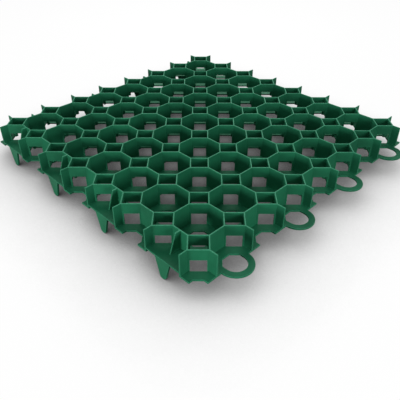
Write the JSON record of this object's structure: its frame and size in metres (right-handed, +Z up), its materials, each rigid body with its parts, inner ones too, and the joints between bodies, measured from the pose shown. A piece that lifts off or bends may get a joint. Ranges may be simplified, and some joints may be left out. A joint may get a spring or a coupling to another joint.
{
  "type": "grass paver grid",
  "caption": "Square plastic ground grid of octagonal and square open cells with windowed walls, ring loops on two edges and ground spikes on the other two.",
  "frame": {"origin": "middle of the bounding box in plan, at the level of the spike tips", "axes": "+Z up from the ground face to the rim; +X and +Y are the two edges with ring loops, -X and -Y the two with ground spikes"},
  "size_m": [0.5242, 0.5242, 0.06],
  "materials": {
    "green_plastic": "moulded, satin"
  },
  "bodies": {
    "root": {"paver_grid": "green_plastic"}
  },
  "joints": []
}
